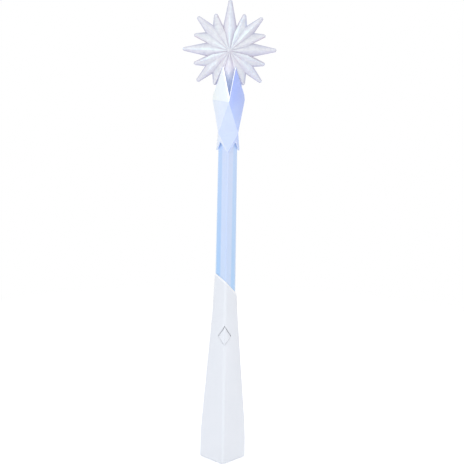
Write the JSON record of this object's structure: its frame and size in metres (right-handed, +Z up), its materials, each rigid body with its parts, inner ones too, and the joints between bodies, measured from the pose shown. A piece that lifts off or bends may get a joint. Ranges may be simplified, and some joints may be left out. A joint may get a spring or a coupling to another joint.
{
  "type": "toy magic wand",
  "caption": "Toy magic wand with a faceted starburst in a clear crown, a clear square shaft, and a tapered square handle with a push button and a battery door on its back corner",
  "frame": {"origin": "centre of the flat base of the handle's foot", "axes": "+Z up along the wand, front with the button towards -Y, +X to the viewer's right"},
  "size_m": [0.0724, 0.0366, 0.3729],
  "materials": {
    "white_shell": "satin white moulded plastic",
    "white_button": "gloss white moulded plastic",
    "ice_blue": "clear ice-blue plastic with a pearly sheen",
    "pearl": "clear plastic with a pearly, slightly pink and blue sheen",
    "light_resin": "clear cast resin",
    "screw_steel": "bright plated steel",
    "contact_metal": "plated sheet steel",
    "spring_wire": "plated spring wire",
    "cell_sleeve": "plain printed film sleeve",
    "red_sleeve": "red wire sleeve",
    "black_sleeve": "black wire sleeve",
    "board_green": "green solder mask",
    "black_resin": "black moulding resin",
    "capacitor_sleeve": "dark blue film sleeve",
    "switch_black": "black moulded plastic"
  },
  "bodies": {
    "wand": {"handle_front_shell": "white_shell", "handle_back_shell": "white_shell", "shell_screws": "screw_steel", "left_battery": "cell_sleeve", "right_battery": "cell_sleeve", "lower_contact": "contact_metal", "left_contact": "contact_metal", "right_contact": "contact_metal", "lower_spring": "spring_wire", "upper_spring": "spring_wire", "red_lead": "red_sleeve", "black_lead": "black_sleeve", "circuit_board": "board_green", "chip_blob": "black_resin", "resistors": "black_resin", "capacitor": "capacitor_sleeve", "switch_body": "switch_black", "light_lens": "light_resin", "light_legs": "contact_metal", "shaft": "ice_blue", "crown": "ice_blue", "star_seat": "ice_blue", "star_front": "pearl", "star_back": "pearl"},
    "button": {"button_cap": "white_button", "switch_plunger": "switch_black"},
    "battery_door": {"battery_door": "white_shell", "door_screw": "screw_steel"}
  },
  "joints": [
    {"name": "button_press", "type": "slide", "parent": "wand", "child": "button", "axis": [0, 1, 0], "range_m": [0, 0.0008], "stiffness_N_per_m": 1500, "springref_m": -0.0005},
    {"name": "door_swing", "type": "hinge", "parent": "wand", "child": "battery_door", "pos_m": [0, 0.0183, 0.0055], "axis": [-1, 0, 0], "range_deg": [0, 60]}
  ]
}
